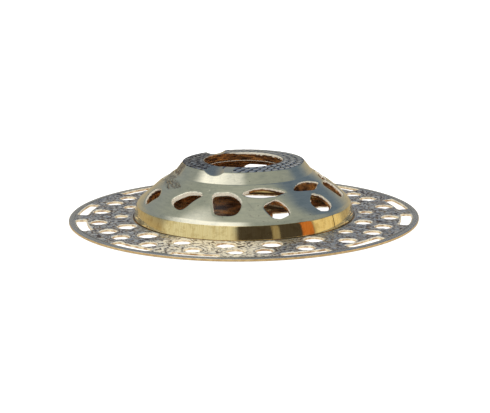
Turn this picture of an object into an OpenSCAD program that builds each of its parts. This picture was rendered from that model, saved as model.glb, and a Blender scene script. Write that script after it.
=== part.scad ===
// Flower frog: an openwork rim plate that lies over a bowl, and a pierced
// dome that stands loose in a turned seat on it.
// Angles are measured from +X, counter-clockwise seen from above.

/* [Rim plate] */
// Diameter of the rim plate
plate_d = 150; // [148:1:170]
// Thickness of the rim plate
plate_t = 1.2; // [1:0.1:2]
// Depth of the turned seat that the dome stands in
seat_depth = 0.3; // [0.2:0.05:0.5]
// Gap all round between the dome's band and the wall of its seat
seat_gap = 0.4; // [0.3:0.05:0.6]
// Number of lobes in the ornament
lobes = 6; // [6]
// Direction of the first lobe, in degrees
lobe_start = 2; // [0:1:59]
// Width of the long outer slots
slot_w = 4.3; // [3.5:0.1:4.6]
// Diameter of the outer ring of stem holes
stem_hole_d = 6.9; // [5:0.1:7]

/* [Band] */
// Diameter of the band at its foot
band_d = 94.6; // [92:0.2:95]
// Height of the band from the plate's top face
band_h = 5.7; // [5:0.1:6]
// Direction of the band's butt seam, in degrees
seam_at = 322.5; // [0:0.5:359]
// Width of the butt seam's fine groove
seam_w = 0.25; // [0.2:0.05:0.4]

/* [Dome] */
// Height of the dome shell's top, where the collar sits, from the plate's top face
dome_h = 19; // [18:0.2:20]
// Wall thickness of the dome shell
dome_wall = 2; // [1.6:0.1:2.4]
// How far the dome's side bulges out of a straight cone
dome_bulge = 0.6; // [0:0.1:1]

/* [Collar] */
// Height of the collar at the mouth's edge, from the plate's top face
collar_h = 23.9; // [23.6:0.1:25]
// Diameter of the mouth
mouth_d = 33.4; // [30:0.2:35]
// Depth of the mouth's round wall
mouth_wall = 3.8; // [3:0.1:4.2]
// Radius of the two round-bottomed scoops over the collar's edge
scoop_r = 8.5; // [7:0.5:10]
// Depth of a scoop where it leaves the mouth
scoop_depth = 0.2; // [0.1:0.05:0.4]
// Fall of a scoop's floor towards the outside, in degrees
scoop_fall = 9; // [6:1:10]
// Turn of a scoop away from the Y axis, in degrees
scoop_turn = 8.4; // [4:0.2:12]

/* [Hidden] */
$fn = 96;

// Depth by which a cutter passes the face that it cuts
past = 2;

// Plate: radii of its turned and pierced rings
plate_r = plate_d / 2;
rim_groove_r = plate_r - 2.7;
rim_groove_w = 0.55;
rim_groove_depth = 0.3;
slot_r = plate_r - 5.3;
slot_from = 3.8;
slot_sweep = 16.2;
stem_ring_r = 62.7;
inner_ring_r = 52.8;
seat_r = band_d / 2 + seat_gap;
lobe_step = 360 / lobes;
// Places of the stem holes in one lobe, from the lobe's middle
stem_angles = [-24.8, -9.3, 9.3, 24.8];
// Diameters of the 18 hand-cut inner holes, from the first lobe's middle round
inner_hole_d = [5.4, 5.2, 6.2, 5.6, 6.8, 5.4, 7.2, 6.0, 5.4,
                5.4, 7.8, 8.0, 7.6, 8.0, 8.2, 7.8, 5.6, 7.0];
// Openwork under the dome: round holes in a ring, by direction
floor_hole_r = 37;
floor_hole_d = 10.5;
floor_hole_at = [17, 47, 167, 197, 227, 257, 287, 317, 347];
// Kidney holes: direction, radius, width, sweep
kidneys = [[-6, 18, 11, 46], [54, 18, 11, 46], [234, 18, 11, 46], [294, 18, 11, 46], [77, 37, 10, 25]];

// Band and dome: outline of the turned sides
band_r = band_d / 2;
band_top_r = band_r - 1.4;
band_mid_r = band_r - 0.55;
hoop_t = 1.5;
spigot_r = band_top_r - hoop_t;
spigot_low = 1;
bevel_top_r = band_top_r - 0.9;
bevel_h = 1.3;
shoulder_z = band_h + bevel_h;
dome_top_r = 29.4;
flange_in_r = 24;
flange_t = 1.6;
// Inner side of the shell, set in square to the middle slope of its outer side
slope = atan2(dome_h - shoulder_z, bevel_top_r - dome_top_r);
inset_r = dome_wall * sin(slope);
inset_z = dome_wall * cos(slope);

// Collar outline
collar_edge_r = 26;
collar_edge_z = collar_h - 0.5;
mouth_r = mouth_d / 2;
collar_spigot_t = 1.9;
collar_spigot_r = flange_in_r - 0.05;
// Where a scoop's floor line leaves the mouth, and how far it runs either way
scoop_at = [-11.1, 12.5];
scoop_in = 4;
scoop_out = 20;

// Lower row of windows: direction, width, lowest and highest point from the plate's top, shape
lower_windows = [
    [20, 11.5, 8.2, 14.8, "block"],
    [50, 11.0, 7.8, 13.6, "kite"],
    [80.5, 11.4, 11.4, 17.4, "block"],
    [108, 11.4, 7.6, 12.9, "petal"],
    [142, 12.0, 8.4, 14.8, "block"],
    [169, 10.8, 7.8, 13.4, "petal"],
    [198, 11.0, 8.1, 13.4, "step"],
    [231, 13.4, 9.4, 15.6, "wedge"],
    [259, 12.8, 8.9, 16.2, "block"],
    [289.2, 10.6, 7.5, 13.6, "kite"],
    [320.7, 10.8, 7.5, 13.5, "petal"],
    [350.4, 11.6, 8.9, 15.2, "block"]
];
// Upper row of lens panels, which the tall window of the lower row interrupts:
// direction, length along the dome, pierced or blind, shape
upper_panels = [
    [5, 16, true, "lens"],
    [45, 16, true, "willow"],
    [125, 16, true, "willow"],
    [165, 15, true, "lens"],
    [205.5, 16, false, "willow"],
    [284.4, 17.8, true, "lens"],
    [322.7, 18, true, "willow"]
];
panel_z = 16.1;
panel_w = 5.6;
// Depth of the blind panel under the dome's side, less the side's bulge there
blind_depth = 0.1;

// Outlines of the hand-cut openings, in half widths and half heights, clockwise from the left
OUTLINES = [
    ["block", [[-0.95, 0.3], [-1, 0.75], [-0.8, 0.95], [-0.3, 1], [0.1, 1], [0.6, 0.75], [0.95, 0.3],
               [1, -0.3], [0.8, -0.8], [0.4, -1], [-0.3, -1], [-0.65, -0.8], [-0.8, -0.3]]],
    ["step", [[-1, 0.2], [-0.7, 0.75], [0.1, 1], [0.75, 0.7], [1, 0.25], [0.7, -0.4], [0.55, -0.85],
              [0.1, -1], [-0.5, -0.7], [-0.9, -0.25]]],
    ["wedge", [[-1, -0.05], [-0.5, 0.56], [-0.1, 0.85], [0.5, 1], [0.9, 0.92], [0.95, 0.7], [0.8, 0.4],
               [0.6, -0.05], [0.4, -0.65], [0.2, -0.95], [-0.1, -1], [-0.5, -0.8], [-0.85, -0.5]]],
    ["kite", [[-1, 0.28], [-0.78, 0.6], [-0.3, 0.82], [0.18, 1], [0.52, 0.72], [0.8, 0.35], [1, -0.15],
              [0.93, -0.57], [0.52, -0.82], [0, -1], [-0.44, -0.87], [-0.78, -0.4]]],
    ["petal", [[-1, 0.1], [-0.74, 0.54], [-0.35, 0.85], [0, 1], [0.3, 0.82], [0.7, 0.6], [0.95, 0],
               [1, -0.5], [0.7, -0.8], [0.3, -0.97], [-0.1, -1], [-0.6, -0.85], [-0.93, -0.32]]],
    ["lens", [[-1, 0.3], [-0.6, 0.82], [-0.15, 1], [0.25, 0.87], [0.65, 0.5], [1, 0.16], [1, -0.1],
              [0.76, -0.5], [0.5, -0.87], [0.2, -0.95], [-0.15, -1], [-0.55, -0.78], [-0.85, -0.38]]],
    ["willow", [[-1, 0.14], [-0.72, 0.67], [-0.3, 1], [0.2, 0.96], [0.63, 0.67], [0.94, 0.35], [1, 0.1],
                [0.7, -0.35], [0.4, -0.84], [0.15, -1], [-0.15, -0.88], [-0.53, -0.6], [-0.84, -0.27]]]
];

// Points on a flat arc from a to b that bulges to its right by sag
function arc_points(a, b, sag, steps) =
    let (d = b - a, len = norm(d), side = [d[1], -d[0]] / len)
    [for (i = [0 : steps])
        let (t = i / steps)
        a + d * t + side * sag * 4 * t * (1 - t)];

// A ring-shaped slot, middle at angle 0
module ring_slot(r, w, sweep, h) {
    rotate([0, 0, -sweep / 2])
        rotate_extrude(angle = sweep)
            translate([r - w / 2, 0])
                square([w, h]);
}

// A hand-cut opening's outline, w wide and h high
module opening(shape, w, h) {
    points = OUTLINES[search([shape], OUTLINES)[0]][1];
    polygon([for (p = points) [p[0] * w / 2, p[1] * h / 2]]);
}

// A cutter square to the dome's side, for an opening whose middle is z above the plate's top
module side_cutter(shape, direction, z, w, h, depth) {
    up = (z - shoulder_z) / sin(slope);
    rotate([0, 0, direction])
        translate([bevel_top_r - up * cos(slope), 0, plate_t + z])
            rotate([0, slope, 0])
                translate([0, 0, -depth])
                    rotate([0, 0, 90])
                        linear_extrude(depth + past)
                            opening(shape, w, h);
}

module rim_plate() {
    top = plate_t;
    color("darkgoldenrod")
    difference() {
        cylinder(r = plate_r, h = top);
        // Turned seat for the dome
        translate([0, 0, top - seat_depth])
            cylinder(r = seat_r, h = past);
        // Fine groove inside the plain border
        translate([0, 0, top - rim_groove_depth])
            rotate_extrude()
                translate([rim_groove_r, 0])
                    square([rim_groove_w, past]);
        for (lobe = [0 : lobes - 1])
            rotate([0, 0, lobe_start + lobe * lobe_step])
                translate([0, 0, -past]) {
                    for (side = [-1, 1])
                        rotate([0, 0, side * (slot_from + slot_sweep / 2)])
                            ring_slot(slot_r, slot_w, slot_sweep, top + 2 * past);
                    for (a = stem_angles)
                        rotate([0, 0, a])
                            translate([stem_ring_r, 0, 0])
                                cylinder(d = stem_hole_d, h = top + 2 * past);
                }
        for (i = [0 : len(inner_hole_d) - 1])
            rotate([0, 0, lobe_start + i * 360 / len(inner_hole_d)])
                translate([inner_ring_r, 0, -past])
                    cylinder(d = inner_hole_d[i], h = top + 2 * past);
        for (a = floor_hole_at)
            rotate([0, 0, a])
                translate([floor_hole_r, 0, -past])
                    cylinder(d = floor_hole_d, h = top + 2 * past);
        for (k = kidneys)
            rotate([0, 0, k[0]])
                translate([0, 0, -past])
                    ring_slot(k[1], k[2], k[3], top + 2 * past);
    }
}

module band_hoop() {
    color("gold")
    translate([0, 0, plate_t])
    difference() {
        rotate_extrude()
            polygon([
                [spigot_r, -seat_depth], [band_r, -seat_depth], [band_mid_r, band_h / 2],
                [band_top_r, band_h], [spigot_r, band_h]
            ]);
        rotate([0, 0, seam_at])
            translate([band_r - 0.8, -seam_w / 2, -past])
                cube([past, seam_w, band_h + 2 * past]);
    }
}

module dome_shell() {
    side = arc_points([bevel_top_r, shoulder_z], [dome_top_r, dome_h], dome_bulge, 8);
    inner = arc_points([bevel_top_r - inset_r, shoulder_z - inset_z],
                       [dome_top_r - inset_r, dome_h - inset_z], dome_bulge, 8);
    skirt_in_r = spigot_r - 1.6;
    inner_side = [for (p = inner) if (p[0] < skirt_in_r) p];
    color("khaki")
    difference() {
        translate([0, 0, plate_t])
            rotate_extrude()
                polygon(concat(
                    [[spigot_r, spigot_low], [spigot_r, band_h], [band_top_r, band_h]],
                    side,
                    [[flange_in_r, dome_h], [flange_in_r, dome_h - flange_t],
                     [dome_top_r - inset_r, dome_h - flange_t]],
                    [for (i = [len(inner_side) - 1 : -1 : 0]) inner_side[i]],
                    [[skirt_in_r, shoulder_z - inset_z + 0.6], [skirt_in_r, spigot_low]]
                ));
        for (win = lower_windows)
            side_cutter(win[4], win[0], (win[2] + win[3]) / 2, win[1], (win[3] - win[2]) / sin(slope), 2 * dome_wall);
        for (panel = upper_panels)
            side_cutter(panel[3], panel[0], panel_z, panel[1], panel_w, panel[2] ? 2 * dome_wall : blind_depth);
    }
}

module mouth_collar() {
    ledge_z = collar_h - mouth_wall;
    color("tan")
    translate([0, 0, plate_t])
    difference() {
        rotate_extrude()
            polygon([
                [mouth_r, collar_h], [mouth_r, ledge_z], [flange_in_r - collar_spigot_t, ledge_z],
                [flange_in_r - collar_spigot_t, dome_h - flange_t], [collar_spigot_r, dome_h - flange_t],
                [collar_spigot_r, dome_h], [dome_top_r, dome_h], [collar_edge_r, collar_edge_z]
            ]);
        // Scoops, one at the back and its mirror image at the front
        for (side = [0, 1])
            mirror([0, side, 0])
                translate([scoop_at[0], scoop_at[1], collar_h - scoop_depth + scoop_r / cos(scoop_fall)])
                    rotate([-90 - scoop_fall, 0, scoop_turn])
                        translate([0, 0, -scoop_in])
                            cylinder(r = scoop_r, h = scoop_in + scoop_out);
    }
}

rim_plate();
band_hoop();
dome_shell();
mouth_collar();
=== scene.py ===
from math import atan2, cos, degrees, hypot, pi, radians, sin, tau

import bmesh
import bpy
import numpy as np
from mathutils import Matrix, Vector, geometry, noise


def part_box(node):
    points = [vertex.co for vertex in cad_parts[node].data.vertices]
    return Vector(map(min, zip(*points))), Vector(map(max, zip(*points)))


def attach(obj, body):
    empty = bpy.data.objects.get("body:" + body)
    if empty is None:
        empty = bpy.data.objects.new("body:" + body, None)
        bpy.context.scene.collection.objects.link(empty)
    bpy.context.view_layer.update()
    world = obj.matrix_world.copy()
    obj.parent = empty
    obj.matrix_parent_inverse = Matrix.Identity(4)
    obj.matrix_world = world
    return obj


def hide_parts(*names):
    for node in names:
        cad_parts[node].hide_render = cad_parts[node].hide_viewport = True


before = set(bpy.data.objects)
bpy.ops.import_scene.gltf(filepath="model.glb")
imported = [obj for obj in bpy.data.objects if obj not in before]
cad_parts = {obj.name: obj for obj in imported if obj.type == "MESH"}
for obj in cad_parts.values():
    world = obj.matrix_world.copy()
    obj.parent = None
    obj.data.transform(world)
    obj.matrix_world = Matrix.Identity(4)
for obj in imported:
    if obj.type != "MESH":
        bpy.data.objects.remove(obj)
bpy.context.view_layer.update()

mm = 0.001  # shapes are worked out in millimetres and scaled to metres when a piece is done


def boxMm(node):
    low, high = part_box(node)
    return low / mm, high / mm


plateHigh = boxMm("rim_plate")[1]
bandLow, bandHigh = boxMm("band_hoop")
collarLow, collarHigh = boxMm("mouth_collar")
plateTop = plateHigh.z


# ---- outlines: closed rows of points in a flat sheet

def smoothLoop(points, steps=8):
    points = np.array(points, float)
    before, after, later = np.roll(points, 1, 0), np.roll(points, -1, 0), np.roll(points, -2, 0)
    t = np.arange(steps)[:, None, None] / steps
    curve = 2 * points + (after - before) * t
    curve = curve + (2 * before - 5 * points + 4 * after - later) * t ** 2
    curve = curve + (3 * points - before - 3 * after + later) * t ** 3
    return curve.transpose(1, 0, 2).reshape(-1, 2) / 2


def roundLoop(x, y, radius, steps=48):
    turn = np.arange(steps) * tau / steps
    return np.stack((x + radius * np.cos(turn), y + radius * np.sin(turn)), 1)


def slotLoop(radius, width, middle, sweep, corner, steps=6):
    # a ring-shaped slot with small round corners, as points on the plate
    half = radians(sweep) / 2 * radius - corner
    side = width / 2 - corner
    along, across = [], []
    for turn, (sx, sy) in enumerate([(1, 1), (-1, 1), (-1, -1), (1, -1)]):
        angle = (turn + np.arange(steps) / (steps - 1)) * pi / 2
        along += list(sx * half + corner * np.cos(angle))
        across += list(sy * side + corner * np.sin(angle))
    along, across = np.array(along), np.array(across)
    full = []
    for i in range(len(along)):
        j = (i + 1) % len(along)
        pieces = max(1, int(hypot(along[j] - along[i], across[j] - across[i]) / 0.8))
        for k in range(pieces):
            t = k / pieces
            full.append((along[i] + (along[j] - along[i]) * t, across[i] + (across[j] - across[i]) * t))
    full = np.array(full)
    angle = radians(middle) + full[:, 0] / radius
    return np.stack(((radius + full[:, 1]) * np.cos(angle), (radius + full[:, 1]) * np.sin(angle)), 1)


def nearestOnLoop(points, loop):
    # distance to the outline, the nearest point on it, and whether each point lies inside
    ahead = np.roll(loop, -1, 0)
    along = ahead - loop
    away = points[:, None] - loop[None]
    t = np.clip((away * along).sum(2) / (along ** 2).sum(1), 0, 1)
    foot = loop + along * t[..., None]
    distance = np.linalg.norm(points[:, None] - foot, axis=2)
    best = distance.argmin(1)
    rows = np.arange(len(points))
    x, y = points[:, :1], points[:, 1:]
    crosses = (loop[:, 1] > y) != (ahead[:, 1] > y)
    rise = np.where(along[:, 1] == 0, 1e-12, along[:, 1])
    inside = (crosses & (x < loop[:, 0] + (y - loop[:, 1]) * along[:, 0] / rise)).sum(1) % 2 == 1
    return distance[rows, best], foot[rows, best], inside


# ---- sheets: a profile is spun round, pierced, and given its thickness

def spinProfile(profile, columns, closed=False):
    bm = bmesh.new()
    verts = [bm.verts.new((r, 0, z)) for r, z in profile]
    edges = [bm.edges.new(pair) for pair in zip(verts, verts[1:])]
    if closed:
        edges.append(bm.edges.new((verts[-1], verts[0])))
    bmesh.ops.spin(bm, geom=verts + edges, cent=(0, 0, 0), axis=(0, 0, 1), dvec=(0, 0, 0),
                   angle=tau, steps=columns, use_merge=True, use_duplicate=False)
    bmesh.ops.recalc_face_normals(bm, faces=bm.faces)
    return bm


def between(start, end, step):
    # points from start up to, but without, end
    count = max(1, round(hypot(end[0] - start[0], end[1] - start[1]) / step))
    return [(start[0] + (end[0] - start[0]) * i / count, start[1] + (end[1] - start[1]) * i / count)
            for i in range(count)]


def places(bm):
    return np.array([v.co[:] for v in bm.verts])


def setPlaces(bm, place):
    for v, p in zip(bm.verts, place):
        v.co = p


def pierce(bm, openings, settle, reach):
    # vertices beside an outline move onto it, faces across it are split, and the faces inside go
    bm.verts.ensure_lookup_table()
    place = places(bm)
    ends = np.array([[v.index for v in e.verts] for e in bm.edges])
    gap = np.full(len(place), 99.0)
    waste = set()
    for origin, across, up, out, loop in openings:
        away = place - origin
        flat = np.stack((away @ across, away @ up), 1)
        isNear = (flat > loop.min(0) - reach).all(1) & (flat < loop.max(0) + reach).all(1)
        near = np.flatnonzero(isNear & (abs(away @ out) < 8))
        distance, foot, inside = nearestOnLoop(flat[near], loop)
        state = np.zeros(len(place), int)  # 0 outside, 1 inside, 2 on the outline
        state[near[inside]] = 1
        far = np.full(len(place), 99.0)
        far[near] = distance
        target = np.zeros((len(place), 2))
        target[near] = foot
        crossing = ends[state[ends[:, 0]] != state[ends[:, 1]]]
        closer = far[crossing[:, 0]] < far[crossing[:, 1]]
        moved = np.unique(np.where(closer, crossing[:, 0], crossing[:, 1]))
        height = (away[moved] @ out)[:, None]
        lifted = origin + target[moved, :1] * across + target[moved, 1:] * up + height * out
        place[moved] = settle(lifted, out)
        state[moved] = 2
        gap[near] = np.minimum(gap[near], np.where(inside, 0, distance))
        gap[moved] = 0
        touched = dict.fromkeys(f for i in np.flatnonzero(state) for f in bm.verts[i].link_faces)
        for face in touched:
            marks = [state[v.index] for v in face.verts]
            if len(marks) == 4 and marks[0] == marks[2] == 2:
                bmesh.utils.face_split(face, face.verts[0], face.verts[2])
            elif len(marks) == 4 and marks[1] == marks[3] == 2:
                bmesh.utils.face_split(face, face.verts[1], face.verts[3])
        touched = dict.fromkeys(f for i in np.flatnonzero(state) for f in bm.verts[i].link_faces)
        for face in touched:
            marks = [state[v.index] for v in face.verts]
            if 1 in marks:
                waste.add(face)
            elif 0 not in marks:
                middle = place[[v.index for v in face.verts]].mean(0) - origin
                if nearestOnLoop(np.array([[middle @ across, middle @ up]]), loop)[2][0]:
                    waste.add(face)
    setPlaces(bm, place)
    layer = bm.verts.layers.float.new("edgeGap")
    for v, value in zip(bm.verts, gap):
        v[layer] = value
    bmesh.ops.delete(bm, geom=list(waste), context="FACES")


def radiusOf(place):
    return np.hypot(place[:, 0], place[:, 1])


def turnOf(place):
    # degrees round from +X, 0 to 360
    return np.degrees(np.arctan2(place[:, 1], place[:, 0])) % 360


def layerValues(bm, name):
    layer = bm.verts.layers.float[name]
    return np.array([v[layer] for v in bm.verts])


def writeLayer(bm, name, values):
    layer = bm.verts.layers.float.get(name) or bm.verts.layers.float.new(name)
    for v, value in zip(bm.verts, values):
        v[layer] = value


def noiseAt(place, scale, seed=0):
    shift = Vector((seed * 7.3, seed * 3.1, seed * 5.7))
    return np.array([noise.noise(Vector(p) * scale + shift) for p in place])


def ease(value, low, high):
    t = np.clip((value - low) / (high - low), 0, 1)
    return t * t * (3 - 2 * t)


def turnFrom(angle, middle):
    # degrees from a middle direction, between -180 and 180
    return (angle - middle + 180) % 360 - 180


def makePiece(name, bm, materials, body, node, sharp=35):
    bmesh.ops.scale(bm, vec=(mm, mm, mm), verts=bm.verts)
    mesh = bpy.data.meshes.new(name)
    bm.to_mesh(mesh)
    bm.free()
    for material in materials:
        mesh.materials.append(material)
    mesh.polygons.foreach_set("use_smooth", [True] * len(mesh.polygons))
    mesh.set_sharp_from_angle(angle=radians(sharp))
    piece = bpy.data.objects.new(name, mesh)
    bpy.context.scene.collection.objects.link(piece)
    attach(piece, body)
    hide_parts(node)
    triangles = sum(len(p.vertices) - 2 for p in mesh.polygons)
    print(f"{name}: {triangles} triangles")
    return piece


# ---- material tools

def startMaterial(name, **shader):
    material = bpy.data.materials.new(name)
    material.use_nodes = True
    tree = material.node_tree
    bsdf = tree.nodes["Principled BSDF"]
    bsdf.inputs["Metallic"].default_value = 1
    for socket, value in shader.items():
        bsdf.inputs[socket.replace("_", " ")].default_value = value
    return material, tree, bsdf


def add(tree, kind, settings=None, **sockets):
    # one node; a socket is given by its name, with _ for a space, or by in0, in1...
    made = tree.nodes.new(kind)
    for key, value in (settings or {}).items():
        setattr(made, key, value)
    for key, value in sockets.items():
        inNumber = key.startswith("in") and key[2:].isdigit()
        socket = made.inputs[int(key[2:])] if inNumber else made.inputs[key.replace("_", " ")]
        if isinstance(value, bpy.types.NodeSocket):
            tree.links.new(value, socket)
        else:
            socket.default_value = value
    return made


def math(tree, operation, a, b=0.0):
    return add(tree, "ShaderNodeMath", {"operation": operation}, in0=a, in1=b).outputs[0]


def plus(tree, a, b):
    return math(tree, "ADD", a, b)


def minus(tree, a, b):
    return math(tree, "SUBTRACT", a, b)


def times(tree, a, b):
    return math(tree, "MULTIPLY", a, b)


def ramp(tree, value, stops):
    made = add(tree, "ShaderNodeValToRGB", None, Fac=value)
    colors = made.color_ramp
    while len(colors.elements) < len(stops):
        colors.elements.new(0.5)
    for element, (position, color) in zip(colors.elements, stops):
        element.position = position
        element.color = (*color, 1)
    return made.outputs[0]


def mixColor(tree, factor, a, b):
    made = tree.nodes.new("ShaderNodeMix")
    made.data_type = "RGBA"
    for socket, value in ((made.inputs[0], factor), (made.inputs[6], a), (made.inputs[7], b)):
        if isinstance(value, bpy.types.NodeSocket):
            tree.links.new(value, socket)
        else:
            socket.default_value = (*value, 1) if hasattr(value, "__len__") else value
    return made.outputs[2]


def noiseNode(tree, vector, scale, detail=3.0, roughness=0.55):
    made = add(tree, "ShaderNodeTexNoise", None, Vector=vector, Scale=scale, Detail=detail,
               Roughness=roughness)
    return made.outputs["Fac"]


def remap(tree, value, low, high, newLow=0.0, newHigh=1.0):
    made = add(tree, "ShaderNodeMapRange", None, Value=value, From_Min=low, From_Max=high,
               To_Min=newLow, To_Max=newHigh)
    return made.outputs[0]


def objectPlace(tree):
    return add(tree, "ShaderNodeTexCoord").outputs["Object"]


def aroundAxis(tree, ringScale, turnScale, heightScale):
    # object place as (distance from the axis, turn, height), each times its own scale
    spot = add(tree, "ShaderNodeSeparateXYZ", None, in0=objectPlace(tree))
    x, y, z = spot.outputs
    distance = math(tree, "SQRT", plus(tree, times(tree, x, x), times(tree, y, y)))
    turn = math(tree, "ARCTAN2", y, x)
    made = add(tree, "ShaderNodeCombineXYZ", None, in0=times(tree, distance, ringScale),
               in1=times(tree, turn, turnScale), in2=times(tree, z, heightScale))
    return made.outputs[0]


def bump(tree, bsdf, height, strength, distance):
    made = add(tree, "ShaderNodeBump", None, Strength=strength, Distance=distance, Height=height)
    tree.links.new(made.outputs[0], bsdf.inputs["Normal"])


def attribute(tree, name):
    return add(tree, "ShaderNodeAttribute", {"attribute_name": name}).outputs["Fac"]


# ---- finishes

def castPatina():
    # blackened relief with paler, rubbed ridges; pale cream with less metal round the holes' edges, partly
    # bare metal and partly painted highlight, and over a front patch as painted highlight
    look = {"recess": (0.12, 0.085, 0.085), "slope": (0.60, 0.56, 0.55), "ridge": (0.98, 0.97, 0.94),
            "warm": (0.66, 0.44, 0.22), "bareAndHighlight": (0.98, 0.90, 0.70), "land": (0.54, 0.55, 0.56)}
    material, tree, bsdf = startMaterial("castPatina")
    spot = objectPlace(tree)
    relief = attribute(tree, "relief")
    blotch = noiseNode(tree, spot, 520, 4)
    grain = noiseNode(tree, spot, 2600, 3, 0.7)
    wearAndSheen = plus(tree, relief, times(tree, minus(tree, grain, 0.5), 0.6))
    color = ramp(tree, wearAndSheen, [(0.1, look["recess"]), (0.38, look["slope"]), (0.72, look["ridge"])])
    warmth = remap(tree, blotch, 0.48, 0.66)
    color = mixColor(tree, times(tree, warmth, 0.55), color, look["warm"])
    smooth = attribute(tree, "smooth")
    color = mixColor(tree, times(tree, smooth, 0.85), color, look["land"])
    # pale cream and less metal where the plate is marked: painted highlight over the front patch, and bare
    # metal with painted highlight round the holes' edges
    bareAndHighlight = attribute(tree, "bareAndHighlight")
    color = mixColor(tree, times(tree, bareAndHighlight, 0.85), color, look["bareAndHighlight"])
    tree.links.new(color, bsdf.inputs["Base Color"])
    tree.links.new(remap(tree, bareAndHighlight, 0, 1, 0.88, 0.25), bsdf.inputs["Metallic"])
    rough = plus(tree, remap(tree, wearAndSheen, 0.1, 0.9, 0.45, 0.2), times(tree, blotch, 0.08))
    smoothRough = remap(tree, grain, 0.3, 0.7, 0.18, 0.3)
    mixed = plus(tree, times(tree, rough, minus(tree, 1.0, smooth)),
                 times(tree, smoothRough, smooth))
    tree.links.new(mixed, bsdf.inputs["Roughness"])
    bump(tree, bsdf, grain, 0.6, 0.00008)
    return material


def castGold(name, light, deep, rough, metal):
    # bare cast brass: hole walls, rims and filed edges
    material, tree, bsdf = startMaterial(name, Metallic=metal)
    spot = objectPlace(tree)
    blotch = noiseNode(tree, spot, 520, 4)
    grain = noiseNode(tree, spot, 3000, 3, 0.7)
    color = ramp(tree, blotch, [(0.36, deep), (0.62, light)])
    tree.links.new(color, bsdf.inputs["Base Color"])
    tree.links.new(remap(tree, grain, 0.3, 0.7, rough - 0.06, rough + 0.08), bsdf.inputs["Roughness"])
    bump(tree, bsdf, grain, 0.4, 0.00004)
    return material


def turnedBrass():
    # lathe-turned and polished, with fine rings, a few rubbed clouds and pits, and rough skin where scarred
    look = {"light": (0.80, 0.76, 0.60), "dull": (0.69, 0.67, 0.54), "stain": (0.52, 0.52, 0.44),
            "pit": (0.30, 0.26, 0.20), "crust": (0.10, 0.065, 0.05), "crustLight": (0.50, 0.42, 0.34)}
    material, tree, bsdf = startMaterial("turnedBrass")
    spot = objectPlace(tree)
    rings = noiseNode(tree, aroundAxis(tree, 5200, 1.5, 5200), 1, 2)
    streaks = noiseNode(tree, aroundAxis(tree, 900, 7, 900), 1, 3)
    cloud = noiseNode(tree, spot, 110, 4)
    grain = noiseNode(tree, spot, 1900, 3, 0.7)
    color = ramp(tree, streaks, [(0.3, look["dull"]), (0.65, look["light"])])
    stain = times(tree, remap(tree, noiseNode(tree, spot, 240, 5, 0.65), 0.5, 0.68), 0.45)
    color = mixColor(tree, stain, color, look["stain"])
    pits = remap(tree, noiseNode(tree, spot, 1100, 2), 0.68, 0.74)
    color = mixColor(tree, times(tree, pits, 0.7), color, look["pit"])
    scar = attribute(tree, "scar")
    crust = ramp(tree, grain, [(0.35, look["crust"]), (0.65, look["crustLight"])])
    color = mixColor(tree, scar, color, crust)
    tree.links.new(color, bsdf.inputs["Base Color"])
    rough = plus(tree, remap(tree, rings, 0.3, 0.7, 0.07, 0.13), remap(tree, cloud, 0.4, 0.7, 0.0, 0.07))
    rough = plus(tree, rough, times(tree, scar, 0.3))
    tree.links.new(rough, bsdf.inputs["Roughness"])
    height = plus(tree, times(tree, rings, 0.5), streaks)
    height = plus(tree, height, times(tree, times(tree, scar, grain), 9.0))
    bump(tree, bsdf, height, 0.12, 0.00005)
    return material


def insideBrass(name, rings, metal):
    # never polished: brown oxide in blotches from dark to bright orange, partly real and partly painted
    # shade and painted glow of light bounced inside; pale cream on bare filed edges and on painted
    # highlights
    look = {"dark": (0.10, 0.045, 0.022), "brown": (0.40, 0.19, 0.07), "orange": (1.0, 0.46, 0.12),
            "bareAndHighlight": (0.98, 0.93, 0.80)}
    material, tree, bsdf = startMaterial(name)
    spot = objectPlace(tree)
    blotch = noiseNode(tree, spot, 110, 5, 0.6)
    turned = noiseNode(tree, aroundAxis(tree, 0, 3, 1500), 1, 4, 0.7)
    blotch = plus(tree, times(tree, blotch, 1 - rings), times(tree, turned, rings))
    grain = noiseNode(tree, spot, 1500, 3)
    ragged = times(tree, minus(tree, noiseNode(tree, spot, 900, 3), 0.5), 0.6)
    bareAndHighlight = remap(tree, plus(tree, attribute(tree, "bareAndHighlight"), ragged), 0.5, 0.66)
    # dark blotches stand partly for shade and bright orange ones partly for light bounced round the inside:
    # painted shade and painted glow over the oxide
    color = ramp(tree, blotch, [(0.44, look["dark"]), (0.53, look["brown"]), (0.66, look["orange"])])
    color = mixColor(tree, bareAndHighlight, color, look["bareAndHighlight"])
    tree.links.new(color, bsdf.inputs["Base Color"])
    tree.links.new(remap(tree, bareAndHighlight, 0, 1, metal, 0.2), bsdf.inputs["Metallic"])
    tree.links.new(remap(tree, grain, 0.3, 0.7, 0.22, 0.4), bsdf.inputs["Roughness"])
    bump(tree, bsdf, plus(tree, grain, blotch), 0.5, 0.0002)
    return material


def bandGold():
    # bright rolled gold brass with upright rubbing marks
    look = {"light": (0.86, 0.74, 0.43), "deep": (0.77, 0.61, 0.30), "mark": (0.52, 0.38, 0.16)}
    material, tree, bsdf = startMaterial("bandGold")
    paleTone = noiseNode(tree, aroundAxis(tree, 0, 150, 40), 1, 3)
    fine = noiseNode(tree, aroundAxis(tree, 0, 420, 60), 1, 2)
    rolled = noiseNode(tree, aroundAxis(tree, 0, 4, 2600), 1, 3)
    color = ramp(tree, paleTone, [(0.35, look["deep"]), (0.6, look["light"])])
    color = mixColor(tree, times(tree, remap(tree, fine, 0.6, 0.7), 0.5), color, look["mark"])
    mottle = remap(tree, noiseNode(tree, objectPlace(tree), 330, 5, 0.65), 0.5, 0.62)
    color = mixColor(tree, times(tree, mottle, 0.5), color, look["mark"])
    tree.links.new(color, bsdf.inputs["Base Color"])
    tree.links.new(remap(tree, rolled, 0.3, 0.7, 0.03, 0.08), bsdf.inputs["Roughness"])
    height = plus(tree, paleTone, times(tree, rolled, 0.4))
    bump(tree, bsdf, height, 0.09, 0.00004)
    return material


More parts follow.
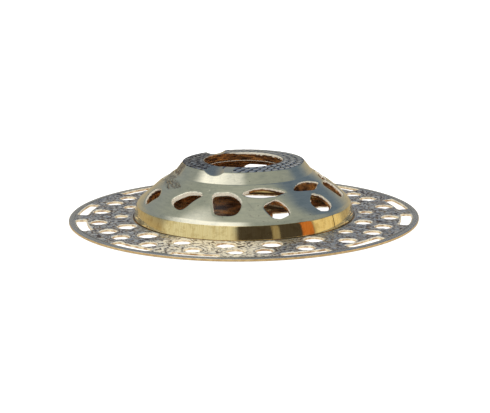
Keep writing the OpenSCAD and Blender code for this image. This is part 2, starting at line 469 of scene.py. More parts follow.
def scaledTop():
    # cut scales: silvery middles, blackened lines between
    look = {"line": (0.035, 0.03, 0.04), "side": (0.20, 0.20, 0.25), "middle": (0.72, 0.77, 0.82)}
    material, tree, bsdf = startMaterial("scaledTop")
    spot = objectPlace(tree)
    relief = attribute(tree, "relief")
    grain = noiseNode(tree, spot, 2400, 3, 0.7)
    wearAndSheen = plus(tree, relief, times(tree, minus(tree, grain, 0.5), 0.4))
    color = ramp(tree, wearAndSheen, [(0.42, look["line"]), (0.66, look["side"]), (0.9, look["middle"])])
    tree.links.new(color, bsdf.inputs["Base Color"])
    tree.links.new(remap(tree, wearAndSheen, 0.1, 0.9, 0.42, 0.2), bsdf.inputs["Roughness"])
    bump(tree, bsdf, grain, 0.4, 0.00005)
    return material


goldWall = castGold("castGoldWall", (0.90, 0.78, 0.54), (0.38, 0.22, 0.10), 0.35, 0.2)
edgeGold = castGold("turnedEdge", (0.62, 0.45, 0.22), (0.46, 0.30, 0.13), 0.3, 0.3)
underGold = castGold("castUnderside", (0.50, 0.36, 0.18), (0.26, 0.17, 0.09), 0.45, 0.9)
patina = castPatina()
brass = turnedBrass()
inside = insideBrass("insideBrass", 0, 0.6)
boreWall = insideBrass("boreBrass", 0.8, 0.75)
band = bandGold()
scales = scaledTop()
print("finishes made")


# ---- rim plate: openwork casting, lobed ornament round a turned seat

plate = {
    "columns": 820,
    "fieldStep": 0.43,       # row spacing over the relief
    "floorStep": 1.3,        # row spacing under the dome
    "seatRadius": 47.7,
    "seatDepth": 0.3,
    "grooveRadius": 72.3,
    "grooveWidth": 0.55,
    "grooveDepth": 0.3,
    "lobes": 6,
    "lobeStart": 2,
    "slot": {"radius": 69.7, "width": 4.3, "from": 3.8, "sweep": 16.2, "corner": 0.9},
    "stemHoles": {"radius": 62.7, "bore": 6.9, "places": (-24.8, -9.3, 9.3, 24.8)},
    "innerHoles": {"radius": 52.8, "bores": (5.4, 5.2, 6.2, 5.6, 6.8, 5.4, 7.2, 6.0, 5.4,
                                             5.4, 7.8, 8.0, 7.6, 8.0, 8.2, 7.8, 5.6, 7.0)},
    "floorHoles": {"radius": 37, "bore": 10.5, "places": (17, 47, 167, 197, 227, 257, 287, 317, 347)},
    # direction, radius, width, sweep
    "kidneys": [(-6, 18, 11, 46), (54, 18, 11, 46), (234, 18, 11, 46), (294, 18, 11, 46), (77, 37, 10, 25)],
    "ridgePitch": 2.0,
    "ridgeHeight": 0.26,
    "landEdge": 48.3,        # smooth turned land inside this radius
    "borderEdge": 72.0,      # smooth border outside this radius
    "eyeRadius": 58.9,
    "paleTone": {"turn": 257, "spread": 34, "edge": 71.8},  # front part whose ridges are painted pale cream: painted highlight of light glancing off the relief
}


def plateOpenings():
    loops = []
    slot, stem, inner = plate["slot"], plate["stemHoles"], plate["innerHoles"]
    floor = plate["floorHoles"]
    for lobe in range(plate["lobes"]):
        middle = plate["lobeStart"] + lobe * 360 / plate["lobes"]
        for side in (-1, 1):
            at = middle + side * (slot["from"] + slot["sweep"] / 2)
            loops.append(slotLoop(slot["radius"], slot["width"], at, slot["sweep"], slot["corner"]))
        for place in stem["places"]:
            a = radians(middle + place)
            loops.append(roundLoop(stem["radius"] * cos(a), stem["radius"] * sin(a), stem["bore"] / 2))
    for i, bore in enumerate(inner["bores"]):
        a = radians(plate["lobeStart"] + i * 360 / len(inner["bores"]))
        loops.append(roundLoop(inner["radius"] * cos(a), inner["radius"] * sin(a), bore / 2))
    for place in floor["places"]:
        a = radians(place)
        loops.append(roundLoop(floor["radius"] * cos(a), floor["radius"] * sin(a), floor["bore"] / 2))
    for at, radius, width, sweep in plate["kidneys"]:
        loops.append(slotLoop(radius, width, at, sweep, 1.5))
    origin = np.array((0, 0, plateTop))
    x, y, z = np.eye(3)
    return [(origin, x, y, z, loop) for loop in loops]


def plateProfile():
    top, seat, edge = plateTop, plate["seatRadius"], plateHigh.x
    low = top - plate["seatDepth"]
    groove, width, depth = plate["grooveRadius"], plate["grooveWidth"], plate["grooveDepth"]
    rows = between((3, low), (seat, low), plate["floorStep"])
    rows += [(seat, low), (seat + 0.05, top - 0.06), (seat + 0.2, top)]
    rows += between((seat + 0.5, top), (groove, top), plate["fieldStep"])
    rows += [(groove, top), (groove + 0.05, top - depth), (groove + width - 0.05, top - depth),
             (groove + width, top)]
    rows += between((groove + width + 0.3, top), (edge - 0.55, top), plate["fieldStep"])
    rows += [(edge - 0.5, top), (edge - 0.22, top - 0.06), (edge - 0.06, top - 0.2), (edge, top - 0.42),
             (edge, 0.42), (edge - 0.06, 0.2), (edge - 0.22, 0.06), (edge - 0.5, 0)]
    return rows


def plateRelief(place, gap):
    # ridges that follow the holes' edges, with a ringed eye in each lobe
    radius = radiusOf(place)
    warp = noiseAt(place, 0.28, 1) * 1.2 + noiseAt(place, 0.9, 2) * 0.45
    ridge = 0.5 + 0.5 * np.cos(tau * (gap / plate["ridgePitch"] + warp * np.clip(gap / 1.2, 0, 1)))
    ridge = np.clip(ridge * (0.85 + 0.6 * noiseAt(place, 0.6, 3)) + 0.25 * noiseAt(place, 1.6, 9), 0, 1)
    for lobe in range(plate["lobes"]):
        a = radians(plate["lobeStart"] + lobe * 360 / plate["lobes"])
        away = np.hypot(place[:, 0] - plate["eyeRadius"] * cos(a), place[:, 1] - plate["eyeRadius"] * sin(a))
        eye = 0.5 - 0.5 * np.cos(tau * away / 2.2)
        ridge = ridge + (eye - ridge) * (1 - ease(away, 2.2, 3.0))
    field = ease(radius, plate["landEdge"], plate["landEdge"] + 0.5)
    field *= 1 - ease(radius, plate["borderEdge"] - 0.5, plate["borderEdge"])
    return ridge, field


def closeUnder(bm, edges):
    # flat triangles from the outer rim inwards, stopping at the holes' edges
    verts = list(dict.fromkeys(v for e in edges for v in e.verts))
    number = {v: i for i, v in enumerate(verts)}
    lines = [tuple(number[v] for v in e.verts) for e in edges]
    made = geometry.delaunay_2d_cdt([v.co.xy for v in verts], lines, [], 0, 0.00001)
    faces = [[made[3][i][0] for i in face] for face in made[2]]
    beside = {}
    for i, face in enumerate(faces):
        for pair in zip(face, face[1:] + face[:1]):
            beside.setdefault(frozenset(pair), []).append(i)
    walls = {frozenset(line) for line in lines}
    reached = set(beside[frozenset(lines[0])])
    waiting = list(reached)
    while waiting:
        face = faces[waiting.pop()]
        for pair in zip(face, face[1:] + face[:1]):
            if frozenset(pair) not in walls:
                more = [other for other in beside[frozenset(pair)] if other not in reached]
                reached.update(more)
                waiting += more
    return [bm.faces.new([verts[i] for i in faces[f]]) for f in sorted(reached)]


def makePlate():
    bm = spinProfile(plateProfile(), plate["columns"])
    for face in bm.faces:
        if face.normal.z < -0.1:
            face.normal_flip()
    pierce(bm, plateOpenings(), lambda p, out: p, 4.5)
    top = set(bm.verts)
    edges = [e for e in bm.edges if e.is_boundary]
    rim = [e for e in edges if all(v.co.z < 0.01 for v in e.verts)]
    hub = [e for e in edges if all(hypot(v.co.x, v.co.y) < 3.01 for v in e.verts)]
    cut = [e for e in edges if e not in set(rim) | set(hub)]
    bmesh.ops.holes_fill(bm, edges=hub, sides=plate["columns"] + 1)
    floorEdges = list(rim)
    walls = set()
    for height in (plateTop * 0.45, 0.0):
        made = bmesh.ops.extrude_edge_only(bm, edges=cut)["geom"]
        for v in made:
            if isinstance(v, bmesh.types.BMVert):
                v.co.z = height
        walls |= {f for f in made if isinstance(f, bmesh.types.BMFace)}
        cut = [e for e in made if isinstance(e, bmesh.types.BMEdge) and e.is_boundary]
    floorEdges += cut
    walls = list(walls)
    for f in walls:
        f.material_index = 1
    for f in closeUnder(bm, floorEdges):
        f.material_index = 2
    print("open edges left in the plate:", sum(e.is_boundary for e in bm.edges))
    bmesh.ops.recalc_face_normals(bm, faces=bm.faces)

    bm.verts.ensure_lookup_table()
    bm.verts.index_update()
    place, gap = places(bm), layerValues(bm, "edgeGap")
    radius = radiusOf(place)
    isTop = np.array([v in top for v in bm.verts])
    ridge, field = plateRelief(place, gap)
    edgeDrop = 0.4 * (1 - np.clip(gap / 0.9, 0, 1)) ** 2
    sink = plate["ridgeHeight"] * (1 - ridge) * field + edgeDrop * (radius < plateHigh.x - 0.6)
    lowered = isTop & (place[:, 2] > 0.6)
    place[:, 2] -= np.where(lowered, sink, 0)
    setPlaces(bm, place)
    writeLayer(bm, "relief", np.where(isTop, ridge * field + 0.3 * (1 - field), 0.6))
    writeLayer(bm, "smooth", 1 - field)
    turn = turnOf(place)
    # painted highlight: the ridges of the front patch toward the camera, where light glances off the relief,
    # are painted pale cream
    paleTone = plate["paleTone"]
    wearAndSheen = 1 - ease(abs(turnFrom(turn, paleTone["turn"])) + 9 * noiseAt(place, 0.12, 11), 0, paleTone["spread"])
    wearAndSheen = ease(wearAndSheen, 0.1, 0.6) * ease(ridge + 0.5 * noiseAt(place, 0.5, 12), 0.1, 0.4)
    wearAndSheen *= radius < paleTone["edge"]
    # the holes' rounded edges are painted pale cream: partly bare metal, partly painted highlight
    bareAndHighlight = 1 - ease(gap + 0.35 * noiseAt(place, 1.3, 7), 0.15, 0.75)
    writeLayer(bm, "bareAndHighlight", np.maximum(bareAndHighlight, wearAndSheen) * (radius > plate["seatRadius"] + 0.1))
    for f in bm.faces:
        if f.material_index == 0:
            away = f.calc_center_median().xy.length
            # faces inside the seat take the dark inside finish: under the dome it is the unpolished floor,
            # and the narrow ring of the seat left showing at the band's foot is painted dark as the band's
            # contact shadow
            inSeat = away < plate["seatRadius"] + 0.1
            f.material_index = 3 if away > plateHigh.x - 0.08 else (4 if inSeat else 0)
    finishes = [patina, goldWall, underGold, edgeGold, inside]
    return makePiece("rimPlate", bm, finishes, "plate", "rim_plate")


# ---- band: the bright hoop round the dome's foot

hoop = {
    "columns": 720,
    "inner": 44.4,
    "seamTurn": 322.5,
    "seamDepth": 0.22,
}


def makeBand():
    low, high, foot = bandLow.z, bandHigh.z, bandHigh.x
    top, inner = foot - 1.4, hoop["inner"]
    waist = (foot - 0.55, plateTop + 2.85)
    rows = between((inner, low), (foot - 0.2, low), 1.0) + [(foot - 0.2, low), (foot - 0.05, low + 0.08)]
    steps = 16
    start, end = (foot, low + 0.25), (top + 0.06, high - 0.14)
    bend = (2 * waist[0] - (start[0] + end[0]) / 2, 2 * waist[1] - (start[1] + end[1]) / 2)
    for i in range(steps + 1):
        t = i / steps
        rows.append(tuple((1 - t) ** 2 * a + 2 * t * (1 - t) * b + t * t * c
                          for a, b, c in zip(start, bend, end)))
    rows += [(top - 0.02, high - 0.03), (top - 0.12, high)] + between((top - 0.5, high), (inner, high), 0.6)
    rows += between((inner, high), (inner, low), 2.0)
    bm = spinProfile(rows, hoop["columns"], closed=True)
    place = places(bm)
    radius = radiusOf(place)
    angle = np.degrees(np.arctan2(place[:, 1], place[:, 0]))
    away = turnFrom(angle, hoop["seamTurn"])
    drawn = np.where(abs(away) < 3, np.sign(away) * 3 * (abs(away) / 3) ** 2.2, away)
    depth = hoop["seamDepth"] * (1 - ease(abs(drawn), 0.02, 0.16))
    outer = radius > inner + 0.6
    radius = np.where(outer, radius - depth, radius)
    turn = np.radians(hoop["seamTurn"] + drawn)
    place[:, 0], place[:, 1] = radius * np.cos(turn), radius * np.sin(turn)
    setPlaces(bm, place)
    bmesh.ops.recalc_face_normals(bm, faces=bm.faces)
    return makePiece("bandHoop", bm, [band], "dome", "band_hoop")


# ---- dome: pierced, turned shell

openingShapes = {
    "block": [(-0.95, 0.3), (-1, 0.75), (-0.8, 0.95), (-0.3, 1), (0.1, 1), (0.6, 0.75), (0.95, 0.3),
              (1, -0.3), (0.8, -0.8), (0.4, -1), (-0.3, -1), (-0.65, -0.8), (-0.8, -0.3)],
    "step": [(-1, 0.2), (-0.7, 0.75), (0.1, 1), (0.75, 0.7), (1, 0.25), (0.7, -0.4), (0.55, -0.85),
             (0.1, -1), (-0.5, -0.7), (-0.9, -0.25)],
    "wedge": [(-1, -0.05), (-0.5, 0.56), (-0.1, 0.85), (0.5, 1), (0.9, 0.92), (0.95, 0.7), (0.8, 0.4),
              (0.6, -0.05), (0.4, -0.65), (0.2, -0.95), (-0.1, -1), (-0.5, -0.8), (-0.85, -0.5)],
    "kite": [(-1, 0.28), (-0.78, 0.6), (-0.3, 0.82), (0.18, 1), (0.52, 0.72), (0.8, 0.35), (1, -0.15),
             (0.93, -0.57), (0.52, -0.82), (0, -1), (-0.44, -0.87), (-0.78, -0.4)],
    "petal": [(-1, 0.1), (-0.74, 0.54), (-0.35, 0.85), (0, 1), (0.3, 0.82), (0.7, 0.6), (0.95, 0),
              (1, -0.5), (0.7, -0.8), (0.3, -0.97), (-0.1, -1), (-0.6, -0.85), (-0.93, -0.32)],
    "lens": [(-1, 0.3), (-0.6, 0.82), (-0.15, 1), (0.25, 0.87), (0.65, 0.5), (1, 0.16), (1, -0.1),
             (0.76, -0.5), (0.5, -0.87), (0.2, -0.95), (-0.15, -1), (-0.55, -0.78), (-0.85, -0.38)],
    "willow": [(-1, 0.14), (-0.72, 0.67), (-0.3, 1), (0.2, 0.96), (0.63, 0.67), (0.94, 0.35), (1, 0.1),
               (0.7, -0.35), (0.4, -0.84), (0.15, -1), (-0.15, -0.88), (-0.53, -0.6), (-0.84, -0.27)],
}

dome = {
    "columns": 640,
    "rowStep": 0.46,
    "shoulder": (45.0, 7.0),     # radius and height over the plate where the side starts
    "top": (29.4, 19.0),
    "bulge": 0.6,
    "wall": 2.0,
    "skirt": (42.8, 44.35),
    "skirtLow": 1.0,
    "skirtStep": 3.4,            # height where the skirt's wall gets its middle row
    "foot": (45.9, 5.7),         # where the shell stands on the band
    "roofStep": 26.7,            # middle row of the flat under the collar
    "flange": (24.05, 1.6),
    # direction, width, lowest and highest point over the plate, shape
    "windows": [(20, 11.5, 8.2, 14.8, "block"), (50, 11, 7.8, 13.6, "kite"),
                (80.5, 11.4, 11.4, 17.4, "block"), (108, 11.4, 7.6, 12.9, "petal"),
                (142, 12, 8.4, 14.8, "block"),
                (169, 10.8, 7.8, 13.4, "petal"), (198, 11, 8.1, 13.4, "step"),
                (231, 13.4, 9.4, 15.6, "wedge"), (259, 12.8, 8.9, 16.2, "block"),
                (289.2, 10.6, 7.5, 13.6, "kite"), (320.7, 10.8, 7.5, 13.5, "petal"),
                (350.4, 11.6, 8.9, 15.2, "block")],
    # direction, length, shape
    "panels": [(5, 16, "lens"), (45, 16, "willow"), (125, 16, "willow"), (165, 15, "lens"),
               (284.4, 17.8, "lens"), (322.7, 18, "willow")],
    "panelHeight": 16.1,
    "panelWidth": 5.6,
    "paleWalls": (212, 274),         # directions between which the openings' walls are painted pale cream right through, a painted highlight of the lit walls
    "blindPanel": {"turn": 205.5, "length": 16, "depth": 0.42},
    "dent": {"turn": 245, "height": 16.6, "radius": 0.8, "depth": 0.22},
    "roughSkin": {"from": 168, "to": 203, "depth": 0.3},
    # scratches: start and end as direction and height, width, depth; lengths are taken at this radius
    "scratchRadius": 40,
    "scratches": [((271.5, 14.2), (276.5, 10.6), 0.32, 0.09), ((272.3, 9.9), (275.6, 8.3), 0.5, 0.16),
                  ((269.0, 16.5), (272.0, 14.8), 0.25, 0.06)],
}
domeSlope = atan2(dome["top"][1] - dome["shoulder"][1], dome["shoulder"][0] - dome["top"][0])
domeLean = 4 * dome["bulge"] / hypot(dome["top"][1] - dome["shoulder"][1],
                                     dome["shoulder"][0] - dome["top"][0])


def sideRadius(height):
    # the side's radius at a height over the plate
    (r0, z0), (r1, z1) = dome["shoulder"], dome["top"]
    t = np.clip((height - z0) / (z1 - z0), 0, 1)
    for _ in range(3):
        z = z0 + (z1 - z0) * t + dome["bulge"] * cos(domeSlope) * 4 * t * (1 - t)
        t = np.clip(t - (z - height) / (z1 - z0), 0, 1)
    return r0 + (r1 - r0) * t + dome["bulge"] * sin(domeSlope) * 4 * t * (1 - t)


def settleOnDome(points, out):
    # slides points along an opening's axis until they lie on the dome's side
    for _ in range(5):
        radius = np.hypot(points[:, 0], points[:, 1])
        off = radius - sideRadius(points[:, 2] - plateTop)
        rate = sin(domeSlope) + cos(domeSlope) ** 2 / sin(domeSlope)
        points = points - (off / rate)[:, None] * out
    return points


def sideFrame(turn, height):
    (r0, z0), a = dome["shoulder"], radians(turn)
    rise = (height - z0) / sin(domeSlope)
    r = r0 - rise * cos(domeSlope)
    origin = np.array((r * cos(a), r * sin(a), plateTop + height))
    across = np.array((-sin(a), cos(a), 0))
    up = np.array((-cos(domeSlope) * cos(a), -cos(domeSlope) * sin(a), sin(domeSlope)))
    return origin, across, up, np.cross(across, up)


def domeOpenings():
    openings = []
    for turn, width, low, high, shape in dome["windows"]:
        size = np.array((width / 2, (high - low) / sin(domeSlope) / 2))
        openings.append((*sideFrame(turn, (low + high) / 2), smoothLoop(openingShapes[shape]) * size))
    for turn, length, shape in dome["panels"]:
        size = np.array((length / 2, dome["panelWidth"] / 2))
        openings.append((*sideFrame(turn, dome["panelHeight"]), smoothLoop(openingShapes[shape]) * size))
    return openings


def innerPlace(place):
    # the inner wall's point for each point of the outer side
    radius = radiusOf(place)
    height = place[:, 2] - plateTop
    (r0, z0), (r1, z1) = dome["shoulder"], dome["top"]
    lean = domeSlope + domeLean * (1 - 2 * np.clip((height - z0) / (z1 - z0), 0, 1))
    newRadius = np.minimum(radius - dome["wall"] * np.sin(lean), dome["skirt"][0])
    newHeight = height - dome["wall"] * np.cos(lean)
    foot = height < z0 - 0.01
    newRadius = np.where(foot, dome["skirt"][0], newRadius)
    newHeight = np.where(foot, np.where(height < 5, height, 4.6 + (height - 5) * 0.45), newHeight)
    roof = height > z1 - 0.01
    newRadius = np.where(roof, np.minimum(radius, r1 - dome["wall"] * sin(domeSlope)), newRadius)
    newHeight = np.where(roof, z1 - dome["flange"][1], newHeight)
    moved = place.copy()
    moved[:, :2] *= (newRadius / radius)[:, None]
    moved[:, 2] = newHeight + plateTop
    return moved


def castSkin(place):
    # where the rough skin lies on the left, and how rough it is at each point
    skin = dome["roughSkin"]
    middle, half = (skin["from"] + skin["to"]) / 2, (skin["to"] - skin["from"]) / 2
    patch = 1 - ease(abs(turnFrom(turnOf(place), middle)), half * 0.7, half)
    rough = np.clip(0.5 + noiseAt(place, 0.7, 4) * 0.9 + noiseAt(place, 1.9, 5) * 0.5, 0, 1)
    return patch, rough


def domeMarks(place, side):
    # how deep and how rough the blind panel, the dent, the scratches and the cast skin make the side
    radius, height, turn = radiusOf(place), place[:, 2] - plateTop, turnOf(place)
    sink = np.zeros(len(place))
    scar = np.zeros(len(place))
    blind = dome["blindPanel"]
    origin, across, up, out = sideFrame(blind["turn"], dome["panelHeight"])
    away = place - origin
    flat = np.stack((away @ across, away @ up), 1)
    size = np.array((blind["length"] / 2, dome["panelWidth"] / 2))
    loop = smoothLoop(openingShapes["willow"]) * size
    near = np.flatnonzero((abs(flat) < size + 1).all(1) & (away @ out > -6))
    distance, _, isIn = nearestOnLoop(flat[near], loop)
    cast = 0.55 + 0.45 * np.cos(tau * (flat[near, 0] * 0.16 + flat[near, 1] * 0.62
                                       + noiseAt(place[near], 0.5, 6) * 0.8))
    deep = np.where(isIn, ease(distance, 0, 0.5), 0) * blind["depth"] * cast
    sink[near] += deep
    scar[near] = np.maximum(scar[near], np.where(isIn, ease(distance, 0, 0.4), 0) * cast)
    dent = dome["dent"]
    dentAway = np.hypot(np.radians(turnFrom(turn, dent["turn"])) * radius, (height - dent["height"]) * 1.3)
    sink += dent["depth"] * (1 - ease(dentAway, 0.1, dent["radius"]))
    reach = dome["scratchRadius"]
    for (turn0, z0s), (turn1, z1s), width, depth in dome["scratches"]:
        start = np.array((radians(turn0) * reach, z0s / sin(domeSlope)))
        end = np.array((radians(turn1) * reach, z1s / sin(domeSlope)))
        spot = np.stack((np.radians(turn) * reach, height / sin(domeSlope)), 1)
        line = end - start
        t = np.clip(((spot - start) @ line) / (line @ line), 0, 1)
        off = np.linalg.norm(spot - start - t[:, None] * line, axis=1)
        mark = (1 - ease(off, 0, width)) * np.sin(pi * np.clip(t, 0.03, 0.97))
        sink += mark * depth
        scar = np.maximum(scar, mark * 0.3)
    patch, rough = castSkin(place)
    patch = patch * side * ease(height, 14.5, 17)
    sink += patch * rough * dome["roughSkin"]["depth"]
    scar = np.maximum(scar, patch * rough)
    return sink, scar


def makeDome():
    (r0, z0), (r1, z1) = dome["shoulder"], dome["top"]
    skirt, foot = dome["skirt"][1], dome["foot"]
    rows = [(skirt, dome["skirtLow"]), (skirt, dome["skirtStep"]), (skirt, foot[1])]
    rows += between(foot, (r0, z0), 0.3)
    steps = round(hypot(z1 - z0, r0 - r1) / dome["rowStep"])
    for i in range(steps + 1):
        t = i / steps
        sag = dome["bulge"] * 4 * t * (1 - t)
        rows.append((r0 + (r1 - r0) * t + sag * sin(domeSlope), z0 + (z1 - z0) * t + sag * cos(domeSlope)))
    rows += [(dome["roofStep"], z1), (dome["flange"][0], z1)]
    bm = spinProfile([(r, z + plateTop) for r, z in rows], dome["columns"])
    pierce(bm, domeOpenings(), settleOnDome, 2.0)
    for layer in ("scar", "bareAndHighlight"):
        bm.verts.layers.float.new(layer)
    outer = set(bm.verts)
    made = bmesh.ops.extrude_face_region(bm, geom=bm.faces[:], use_keep_orig=True)["geom"]
    copied = [v for v in made if isinstance(v, bmesh.types.BMVert)]
    for v, p in zip(copied, innerPlace(np.array([v.co[:] for v in copied]))):
        v.co = p
    for f in bm.faces:
        kept = sum(v in outer for v in f.verts)
        f.material_index = 0 if kept == len(f.verts) else 1
    bmesh.ops.recalc_face_normals(bm, faces=bm.faces)
    # the walls' outer edges are painted pale cream all round, partly bare filed metal and partly painted
    # highlight; in the given directions the cream runs through the whole wall as painted highlight
    bareAndHighlight = bm.verts.layers.float["bareAndHighlight"]
    low, high = dome["paleWalls"]
    for v in bm.verts:
        if v in outer:
            v[bareAndHighlight] = 1
        elif any(w in outer for f in v.link_faces for w in f.verts):
            v[bareAndHighlight] = 0.72 if low < degrees(atan2(v.co.y, v.co.x)) % 360 < high else 0.1

    bm.verts.index_update()
    shown = [v for v in bm.verts if v in outer]
    place = np.array([v.co[:] for v in shown])
    gapLayer = bm.verts.layers.float["edgeGap"]
    gap = np.array([v[gapLayer] for v in shown])
    height = place[:, 2] - plateTop
    side = ease(height, z0 + 0.3, z0 + 1.0) * (1 - ease(height, z1 - 0.5, z1 - 0.05))
    sink = 0.16 * (1 - np.clip(gap / 0.5, 0, 1)) ** 2 * side
    more, scar = domeMarks(place, side)
    sink += more
    turn = np.radians(turnOf(place))
    step = np.stack((np.cos(turn) * sin(domeSlope), np.sin(turn) * sin(domeSlope),
                     np.full(len(place), cos(domeSlope))), 1)
    place -= step * (sink * (height > z0 - 0.1))[:, None]
    scarLayer = bm.verts.layers.float["scar"]
    for v, p, mark in zip(shown, place, scar):
        v.co = p
        v[scarLayer] = mark
    return makePiece("domeShell", bm, [brass, inside], "dome", "dome_shell")


# ---- collar: chamfered top ring with cut scales and two scoops over its edge

collar = {
    "columns": 720,
    "spigot": (22.1, 23.9),
    "mouth": 16.7,
    "ledge": 20.1,              # heights are over the plate
    "foot": (29.4, 19.0),
    "edge": (26.0, 23.4),
    # where a scoop's floor line leaves the mouth, its radius, depth there, fall and turn
    "scoop": {"at": (-11.1, 12.5), "radius": 8.5, "depth": 0.2, "fall": 9, "turn": 8.4},
    "scaleSize": 2.45,
    "scalePitch": 3.3,
    "scaleRows": (17.4, 20.5, 23.6, 26.7),
    "scaleDepth": 0.42,
    "plain": (246, 259),        # directions of the smooth patch beside the front scoop
}


def scoopFloor(place):
    # height over the plate of the two scoops' floors, mirror images of one another
    scoop = collar["scoop"]
    turn, fall = radians(scoop["turn"]), radians(scoop["fall"])
    away = np.stack((place[:, 0] - scoop["at"][0], abs(place[:, 1]) - scoop["at"][1]), 1)
    along = away @ np.array((-sin(turn), cos(turn)))
    off = away @ np.array((cos(turn), sin(turn)))
    floor = collarHigh.z - plateTop - scoop["depth"]
    axis = floor + scoop["radius"] / cos(fall) - along * sin(fall) / cos(fall)
    deep = axis - np.sqrt(np.maximum(scoop["radius"] ** 2 - off ** 2, 0)) / cos(fall)
    return np.where((abs(off) < scoop["radius"] - 0.01) & (along > -4), deep, 99.0)


def scalePattern(radius, turn):
    # overlapping scales in rings, each row over the next one out
    height = np.full(len(radius), -1.0)
    for row, ring in enumerate(collar["scaleRows"]):
        count = round(tau * ring / collar["scalePitch"])
        step = 360 / count
        offset = (row % 2) * step / 2 + 3.7 * row
        away = ((turn - offset + step / 2) % step - step / 2)
        x = np.radians(away) * ring
        y = radius - ring
        d = np.hypot((x + 0.55 * y) * 1.3, y * 0.85) / collar["scaleSize"]
        tilt = 0.72 + 0.28 * np.clip(y / collar["scaleSize"] + 0.3, -1, 1)
        level = np.where(d < 0.72, tilt, tilt * np.clip((1 - d) / 0.28, 0, 1))
        free = (height < 0) & (d < 1)
        height = np.where(free, level, height)
    return np.clip(height, 0, 1)


def makeCollar():
    top, mouth, ledge = collarHigh.z - plateTop, collar["mouth"], collar["ledge"]
    inner, outer = collar["spigot"]
    low, foot, edge = collarLow.z - plateTop, collar["foot"], collar["edge"]
    rows = [(inner, low), (outer, low), (outer, foot[1] - 0.01)] + between((26.5, foot[1]), foot, 1.6)
    rows += between(foot, (edge[0] + 0.12, edge[1] - 0.16), 0.34)
    rows += [(edge[0] + 0.12, edge[1] - 0.16), (edge[0] - 0.08, edge[1])]
    rows += between((edge[0] - 0.3, edge[1] + 0.015), (mouth + 0.36, top - 0.02), 0.3)
    rows += [(mouth + 0.36, top - 0.02), (mouth + 0.12, top - 0.1), (mouth, top - 0.32)]
    rows += between((mouth, top - 0.7), (mouth, ledge), 0.45) + [(mouth, ledge)]
    rows += between((mouth + 1.4, ledge), (inner, ledge), 1.5)
    rows += between((inner, ledge), (inner, low), 0.9)
    bm = spinProfile([(r, z + plateTop) for r, z in rows], collar["columns"], closed=True)
    place = places(bm)
    radius = radiusOf(place)
    height = place[:, 2] - plateTop
    turn = turnOf(place)
    floor = scoopFloor(place)
    onTop = (radius > mouth + 0.2) & (radius < edge[0] - 0.05) & (height > ledge + 1)
    pattern = scalePattern(radius, turn)
    band = ease(radius, mouth + 0.4, mouth + 0.9) * (1 - ease(radius, edge[0] - 0.5, edge[0] - 0.15))
    plain = (turn > collar["plain"][0]) & (turn < collar["plain"][1])
    wearAndSheen = 0.8 + 0.35 * noiseAt(place, 0.25, 8)
    tops = height - np.where(onTop & ~plain, collar["scaleDepth"] * (1 - pattern) * band * wearAndSheen, 0)
    soft = 0.12
    gap = np.clip((tops - floor) / soft, -1, 1)
    cut = np.where(tops - floor > soft, floor, tops - soft * (gap + 1) ** 2 / 4)
    isWall = radius < mouth + 0.2
    highest = np.minimum(top, floor)
    share = np.clip((height - ledge) / (top - ledge), 0, 1)
    wallHeight = ledge + share * (highest - ledge)
    shape = (height > foot[1] + 0.3) & (radius > mouth - 0.05)
    inRing = (height <= ledge + 0.01) & (radius < foot[0] - 3)
    height = np.where(inRing, height, np.where(isWall, wallHeight, np.where(shape, cut, height)))
    patch, rough = castSkin(place)
    onSide = (radius > edge[0]) & (height > foot[1] + 0.2)
    sink = np.where(onSide, patch * rough * 0.32, 0)
    place[:, :2] *= (1 - sink * 0.6 / radius)[:, None]
    place[:, 2] = height + plateTop - sink * 0.6
    setPlaces(bm, place)
    inScoop = floor < np.where(onTop, tops - 0.05, height)
    left = 1 - ease(abs(turnFrom(turn, 185)), 35, 62)
    shade = pattern * band + 0.5 * (1 - band) - left * (0.2 + 0.5 * noiseAt(place, 1.1, 13))
    writeLayer(bm, "relief", np.where(onTop, shade, 0.8))
    dull = np.where(inScoop & (radius < edge[0]), 0.3, 0)
    writeLayer(bm, "scar", np.where(onSide, np.clip(patch * rough * 1.7, 0, 1), dull))
    flags = (onTop & ~inScoop & ~plain).astype(int)
    deepIn = ((height < top - 0.09) & (radius < mouth + 0.13) | (height < ledge + 0.02)
              & (radius < foot[0] - 3)).astype(int)
    # the mouth's lip is painted pale cream: a thin bare filed edge all round, and a deeper band toward the
    # back right as painted highlight; a thin pale line runs at the ledge too
    lipPaleDepth = 0.1 + 1.0 * ease(np.cos(np.radians(turn - 48)), 0.3, 0.9) + 0.3 * noiseAt(place, 0.8, 10)
    lipBareAndHighlight = 1 - ease(top - height, lipPaleDepth - 0.15, lipPaleDepth + 0.15)
    bareFoot = 1 - ease(height - ledge, 0.15, 0.4)
    writeLayer(bm, "bareAndHighlight", np.maximum(lipBareAndHighlight, bareFoot) * (radius < mouth + 0.5))
    for f in bm.faces:
        marks = [v.index for v in f.verts]
        if flags[marks].all():
            f.material_index = 1
        elif deepIn[marks].all():
            f.material_index = 2
    bmesh.ops.recalc_face_normals(bm, faces=bm.faces)
    return makePiece("mouthCollar", bm, [brass, scales, boreWall], "dome", "mouth_collar")


makePlate()
makeBand()
makeDome()
makeCollar()


# ---- camera, floor and light

camera = {"lens": 104.1, "sensor": 36, "elevation": 13.22, "distance": 8.15, "roll": -0.57,
          "shift": (0.00237, 0.01484)}  # distance in plate radii


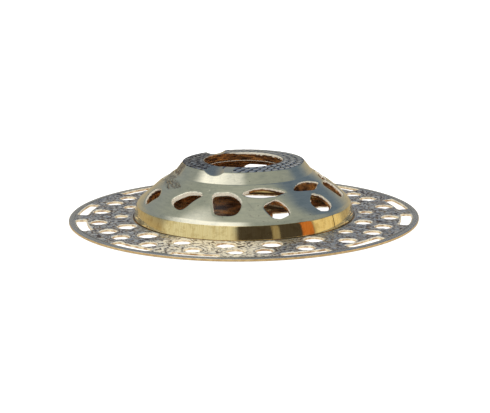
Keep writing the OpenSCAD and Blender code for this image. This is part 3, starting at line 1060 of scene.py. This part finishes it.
def makeCamera():
    made = bpy.data.cameras.new("camera")
    made.lens = camera["lens"]
    made.sensor_width = camera["sensor"]
    made.sensor_fit = "HORIZONTAL"
    made.shift_x, made.shift_y = camera["shift"]
    made.clip_start, made.clip_end = 0.01, 20
    eye = bpy.data.objects.new("camera", made)
    bpy.context.scene.collection.objects.link(eye)
    elevation = radians(camera["elevation"])
    away = camera["distance"] * plateHigh.x * mm
    eye.location = (0, -away * cos(elevation), plateTop * mm + away * sin(elevation))
    turn = Matrix.Rotation(pi / 2 - elevation, 4, "X") @ Matrix.Rotation(radians(camera["roll"]), 4, "Z")
    eye.rotation_euler = turn.to_euler()
    bpy.context.scene.camera = eye


def makeFloor():
    bm = bmesh.new()
    bmesh.ops.create_grid(bm, x_segments=2, y_segments=2, size=6)
    bmesh.ops.translate(bm, verts=bm.verts, vec=(0, 0, -0.0002))
    mesh = bpy.data.meshes.new("floor")
    bm.to_mesh(mesh)
    bm.free()
    material, tree, bsdf = startMaterial("paleFloor", Metallic=0, Roughness=0.9, Specular_IOR_Level=0,
                                         Base_Color=(0.5, 0.5, 0.5, 1), Emission_Color=(1, 1, 1, 1),
                                         Emission_Strength=0.92)
    mesh.materials.append(material)
    floor = bpy.data.objects.new("floor", mesh)
    bpy.context.scene.collection.objects.link(floor)
    floor.visible_glossy = False  # polished sides mirror the room round the object, not the floor


# a soft pale room; direction counts from +X, counter-clockwise, and the camera is at 270
skyColors = [(0, (0.4, 0.35, 0.25)), (90, (0.5, 0.42, 0.28)), (110, (0.3, 0.33, 0.35)),
             (140, (0.35, 0.38, 0.36)), (180, (0.45, 0.48, 0.45))]  # by angle up from straight down
# lights and cards round the object: direction, half width, lowest, highest, soft edge, colour
cards = {
    "window": (220, 50, 35, 65, 20, (1.3, 1.3, 1.3)),
    "sideWall": (220, 40, -10, 35, 8, (0.8, 0.8, 0.7)),
    "shadeBehind": (60, 40, 20, 60, 12, (0.15, 0.2, 0.28)),
    "warmWall": (5, 25, -10, 20, 8, (0.9, 0.75, 0.45)),
    "shadeInFront": (305, 42, -10, 42, 4, (0.07, 0.06, 0.05)),
    "brassCard": (303, 4, -10, 30, 1, (0.35, 0.3, 0.2)),
    "orangeCard": (339, 7, -10, 30, 1, (0.6, 0.2, 0.05)),
}


def within(tree, away, reach, soft):
    # 1 closer than reach, fading to 0 over the soft edge
    return remap(tree, away, reach + soft / 2, reach - soft / 2)


def makeRoom():
    world = bpy.data.worlds.new("room")
    bpy.context.scene.world = world
    world.use_nodes = True
    tree = world.node_tree
    tree.nodes.clear()
    way = add(tree, "ShaderNodeSeparateXYZ", None, in0=add(tree, "ShaderNodeTexCoord").outputs["Generated"])
    x, y, z = way.outputs
    turn = times(tree, math(tree, "ARCTAN2", y, x), 180 / pi)
    height = times(tree, math(tree, "ARCSINE", z), 180 / pi)
    color = ramp(tree, remap(tree, height, -90, 90), [(angle / 180, shade) for angle, shade in skyColors])
    for direction, width, lowest, highest, soft, shade in cards.values():
        aside = math(tree, "WRAP", minus(tree, turn, direction), 180)
        aside.node.inputs[2].default_value = -180
        side = within(tree, math(tree, "ABSOLUTE", aside), width, soft)
        offMiddle = math(tree, "ABSOLUTE", minus(tree, height, (lowest + highest) / 2))
        level = within(tree, offMiddle, (highest - lowest) / 2, soft)
        color = mixColor(tree, times(tree, side, level), color, shade)
    path = add(tree, "ShaderNodeLightPath")
    color = mixColor(tree, path.outputs["Is Diffuse Ray"], color, (1.15, 1.12, 1.06))
    color = mixColor(tree, path.outputs["Is Camera Ray"], color, (1.0, 1.0, 1.0))
    sky = add(tree, "ShaderNodeBackground", None, Color=color, Strength=1.0)
    add(tree, "ShaderNodeOutputWorld", None, Surface=sky.outputs[0])


makeCamera()
makeFloor()
makeRoom()
bpy.context.scene.view_settings.view_transform = "Standard"
print("camera, floor and room made")
